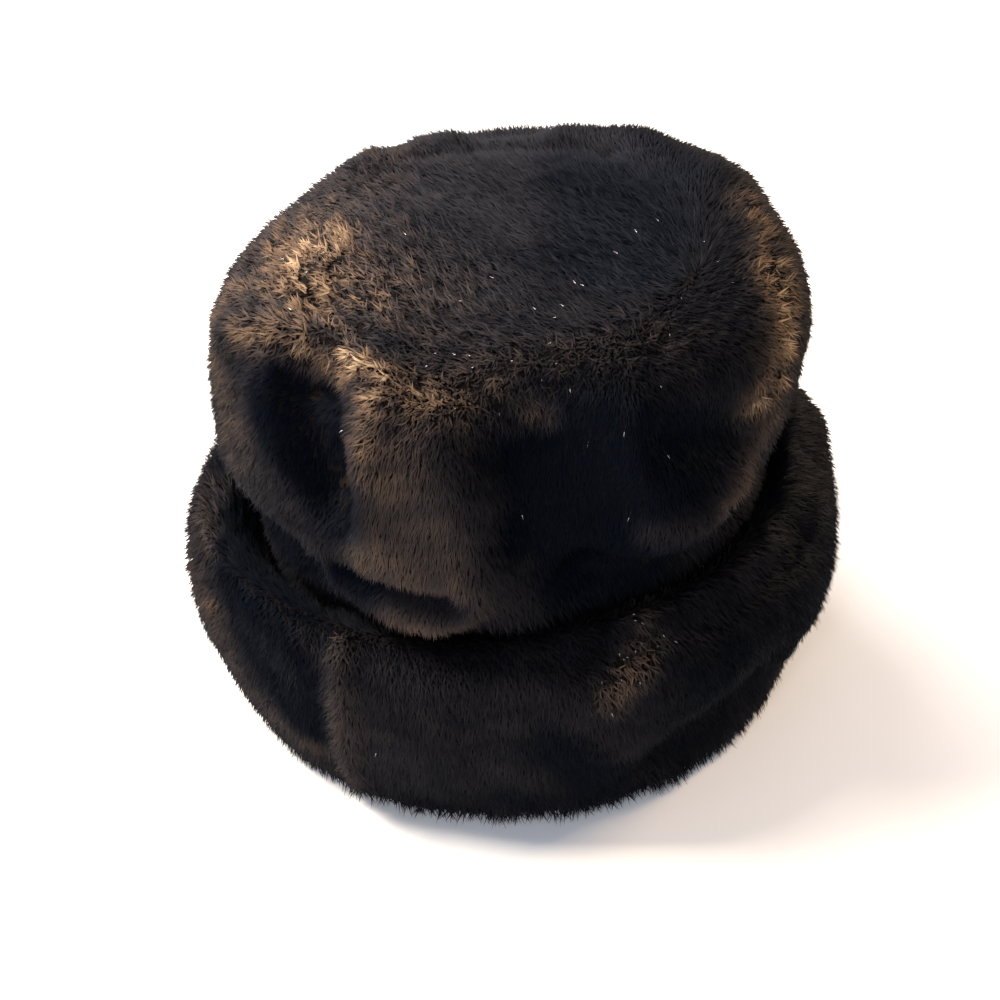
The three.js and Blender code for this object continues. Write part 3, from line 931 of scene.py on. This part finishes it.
def makeFurTree():
    tree = bpy.data.node_groups.new("pileOfHair", "GeometryNodeTree")
    for name, kind, value in furInputs:
        socket = tree.interface.new_socket(name, in_out="INPUT", socket_type=kind)
        if value is not None:
            socket.default_value = value
    tree.interface.new_socket("Geometry", in_out="OUTPUT", socket_type="NodeSocketGeometry")
    given = addNode(tree, "NodeGroupInput").outputs
    place = addNode(tree, "GeometryNodeInputPosition")
    carried = {}
    for name in groundNumbers + hairNumbers:
        carried[name] = addNode(tree, carriedValue, [name], data_type="FLOAT")
    for name in groundArrows + hairArrows:
        carried[name] = addNode(tree, carriedValue, [name], data_type="FLOAT_VECTOR")

    toMiddle, lockLength, lockTone = addLocks(tree, given, place, carried["away"])
    wave, slope = addCrinkles(tree, given, carried)
    drift = addNode(tree, noise, {"Vector": place, **hairVariety["drift"]})
    drift = addNode(tree, arrow, [drift.outputs["Color"], (noiseMiddle,) * 3], operation="SUBTRACT")
    chance = addNode(tree, randomValue, {2: 0, 3: thousand, "Seed": seeds["glint"]}, data_type="FLOAT")
    glint = addNode(tree, number, [chance, carried["glints"]], operation="LESS_THAN")

    turn = addTurn(tree, given, carried, toMiddle, drift, wave)
    size = addSize(tree, given, carried, lockLength, wave, glint)
    shade = addTone(tree, carried, place, lockTone, wave, glint)
    roots = addRoots(tree, given, carried, shade, slope, drift, wave)
    hairs = {"Points": roots, "Instance": addSpike(tree, place), "Rotation": turn, "Scale": size}
    hairs = addNode(tree, "GeometryNodeInstanceOnPoints", hairs)
    hairs = addNode(tree, "GeometryNodeRealizeInstances", [hairs])
    hairs = addFloorStop(tree, given, place, hairs)
    hairs = addMap(tree, carried, hairs)
    hairs = addVelvet(tree, given, carried, hairs)
    hairs = {"Geometry": hairs, "Material": given["Hair Material"]}
    hairs = addNode(tree, "GeometryNodeSetMaterial", hairs)
    addNode(tree, "NodeGroupOutput", [hairs])
    return tree


furTree = makeFurTree()
print("fur tree:", len(furTree.nodes), "nodes")


def groundArea(ground):
    return sum(face.area for face in ground.data.polygons)


def growFur(name, ground, hairs, seed):
    inputs = [item for item in furTree.interface.items_tree if item.in_out == "INPUT"]
    sockets = {item.name: item.identifier for item in inputs}
    modifier = ground.modifiers.new("fur", "NODES")
    modifier.node_group = furTree
    given = {"Density": hairs / groundArea(ground), "Seed": seed, "Hair Material": furMaterial}
    for key, value in given.items():
        modifier[sockets[key]] = value
    graph = bpy.context.evaluated_depsgraph_get()
    grown = ground.evaluated_get(graph)
    mesh = bpy.data.meshes.new_from_object(grown, preserve_all_data_layers=True, depsgraph=graph)
    ground.modifiers.remove(modifier)
    bpy.data.objects.remove(ground)
    for key in groundNumbers + groundArrows + hairNumbers + hairArrows:
        if key in mesh.attributes:
            mesh.attributes.remove(mesh.attributes[key])
    mesh.name = name
    piece = bpy.data.objects.new(name, mesh)
    bpy.context.scene.collection.objects.link(piece)
    triangles = sum(len(face.vertices) - 2 for face in mesh.polygons)
    print(f"{name}: {len(mesh.vertices) // (hairSides + 1)} hairs, {triangles} triangles")
    return piece


# Crown fur, in three parts round the crown, each from one azimuth to another
crownFur = {
    "parts": {
        "crown_fur_front_left": (-210, -90),
        "crown_fur_front_right": (-90, 30),
        "crown_fur_rear": (30, 150),
    },
    "surface": crownAt,
    "sectionLength": crownLength,
    "skin": crownSkin,
    "depth": crownDepth,
    "hideSizes": crownHideSizes,
    "patches": crownPatches,
    "combing": crownComb,
    "from": 0.17,  # share of the way along the section
    "to": 0.998,
    "rings": 120,
    "sides": 110,
    "hairs": 47500,  # in each part
    "firstSeed": 20,
}

# Cuff fur, in a front and a rear half
cuffFur = {
    "parts": {"cuff_fur_front": (-180, 0), "cuff_fur_rear": (0, 180)},
    "surface": cuffAt,
    "sectionLength": cuffLength,
    "skin": cuffSkin,
    "depth": cuffDepth,
    "hideSizes": cuffHideSizes,
    "patches": cuffPatches,
    "combing": cuffComb,
    "from": 0.155,
    "to": 0.9,
    "rings": 110,
    "sides": 160,
    "hairs": 47500,
    "firstSeed": 30,
}
furs = []
for fur in (crownFur, cuffFur):
    for seed, (name, (start, end)) in enumerate(fur["parts"].items(), fur["firstSeed"]):
        ground = makeGround(name, fur, start, end)
        furs.append(growFur(name, ground, fur["hairs"], seed))


# Every piece hangs from the root body, and the CAD crown and cuff that they replace are hidden
pieces = [crownHide, cuffHide] + furs
for piece in pieces:
    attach(piece, "root")
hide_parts("crown")
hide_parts("cuff")
print("pieces declared:", len(pieces))


# Floor: matt white paper, a plain light ground round the dark hat. Its size is in metres.
floorLook = {"size": 8, "colour": "#f4f2ef", "roughness": 0.8}


def makeFloor(look):
    half = look["size"] / 2
    corners = np.array([(-half, -half, 0), (half, -half, 0), (half, half, 0), (-half, half, 0)])
    floor = meshObject("floor", corners, [[0, 1, 2, 3]])
    material = bpy.data.materials.new("Matt white paper")
    material.use_nodes = True
    shader = material.node_tree.nodes["Principled BSDF"]
    shader.inputs["Base Color"].default_value = linearColour(look["colour"])
    shader.inputs["Roughness"].default_value = look["roughness"]
    floor.data.materials.append(material)


# Lights. Places and sizes are in metres, powers in watts.
lights = {
    "upper left": {"place": (-0.55, 0.05, 0.75), "size": 0.3, "power": 18, "colour": "#fff3e4"},
    "right rear": {"place": (1.1, 0.6, 0.5), "size": 0.35, "power": 22, "colour": "#ffe0ba"},
    "rear left": {"place": (-0.4, 0.9, 0.85), "size": 0.6, "power": 18, "colour": "#f0eaee"},
    "front left": {"place": (-0.5, -1.25, 0.5), "size": 0.5, "power": 9.5, "colour": "#f2f3ff"},
}
lightAim = (0, 0, 0.1)
worldLook = {"colour": "#d9e5fa", "strength": 0.5}


def makeLights():
    for name, given in lights.items():
        light = bpy.data.lights.new(name, "AREA")
        light.size = given["size"]
        light.energy = given["power"]
        light.color = linearColour(given["colour"])[:3]
        lamp = bpy.data.objects.new(name, light)
        lamp.location = given["place"]
        toHat = Vector(lightAim) - Vector(given["place"])
        lamp.rotation_euler = toHat.to_track_quat("-Z", "Y").to_euler()
        bpy.context.scene.collection.objects.link(lamp)
    world = bpy.data.worlds.new("studio")
    world.use_nodes = True
    sky = world.node_tree.nodes["Background"]
    sky.inputs["Color"].default_value = linearColour(worldLook["colour"])
    sky.inputs["Strength"].default_value = worldLook["strength"]
    bpy.context.scene.world = world
    bpy.context.scene.view_settings.view_transform = "Standard"


makeFloor(floorLook)
makeLights()
print("floor and lights set")
